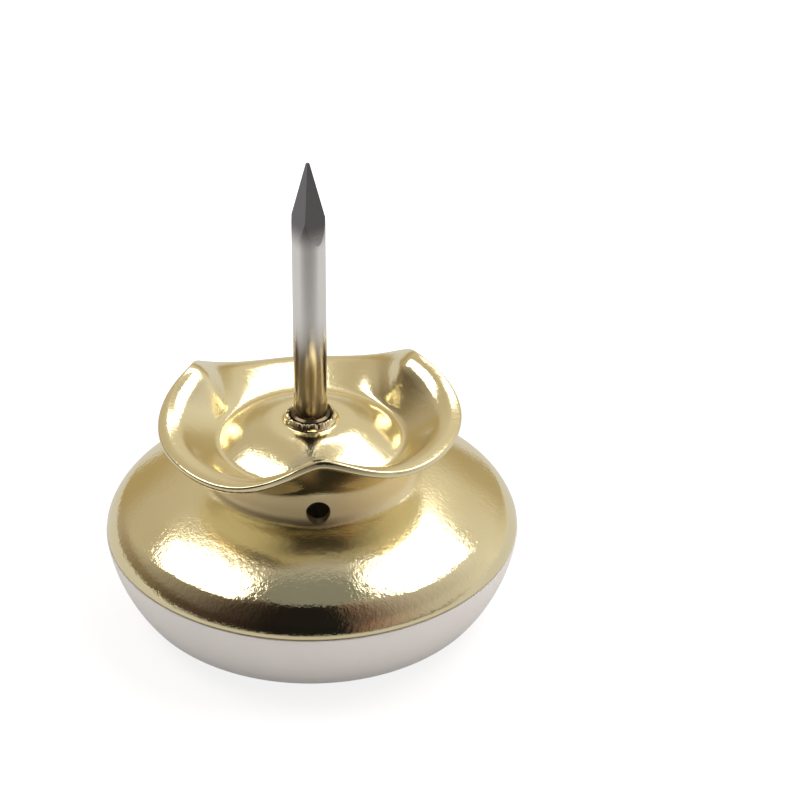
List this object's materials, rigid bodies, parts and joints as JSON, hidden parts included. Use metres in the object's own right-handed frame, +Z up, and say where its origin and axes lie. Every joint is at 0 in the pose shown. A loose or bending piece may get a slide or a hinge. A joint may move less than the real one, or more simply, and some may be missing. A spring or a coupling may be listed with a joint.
{
  "type": "nail on furniture glide",
  "caption": "Round furniture glide: a nail clamps a drawn brass-plated shell, with a lobed cup that bites the leg, to a white nylon sliding foot.",
  "frame": {"origin": "middle of the flat sliding face of the foot, where the glide stands on the floor", "axes": "+Z up along the nail, -Y towards the vent hole and the front kink of the cup"},
  "size_m": [0.025, 0.025, 0.0299],
  "materials": {
    "brass_plated_steel": "polished brass plating on drawn steel sheet",
    "white_nylon": "milky moulded nylon, satin",
    "bright_steel": "bright drawn wire, darker on the cut point",
    "washer_steel": "pale plated steel"
  },
  "bodies": {
    "root": {"shell": "brass_plated_steel", "glide_pad": "white_nylon", "nail": "bright_steel", "head_washer": "washer_steel"}
  },
  "joints": []
}
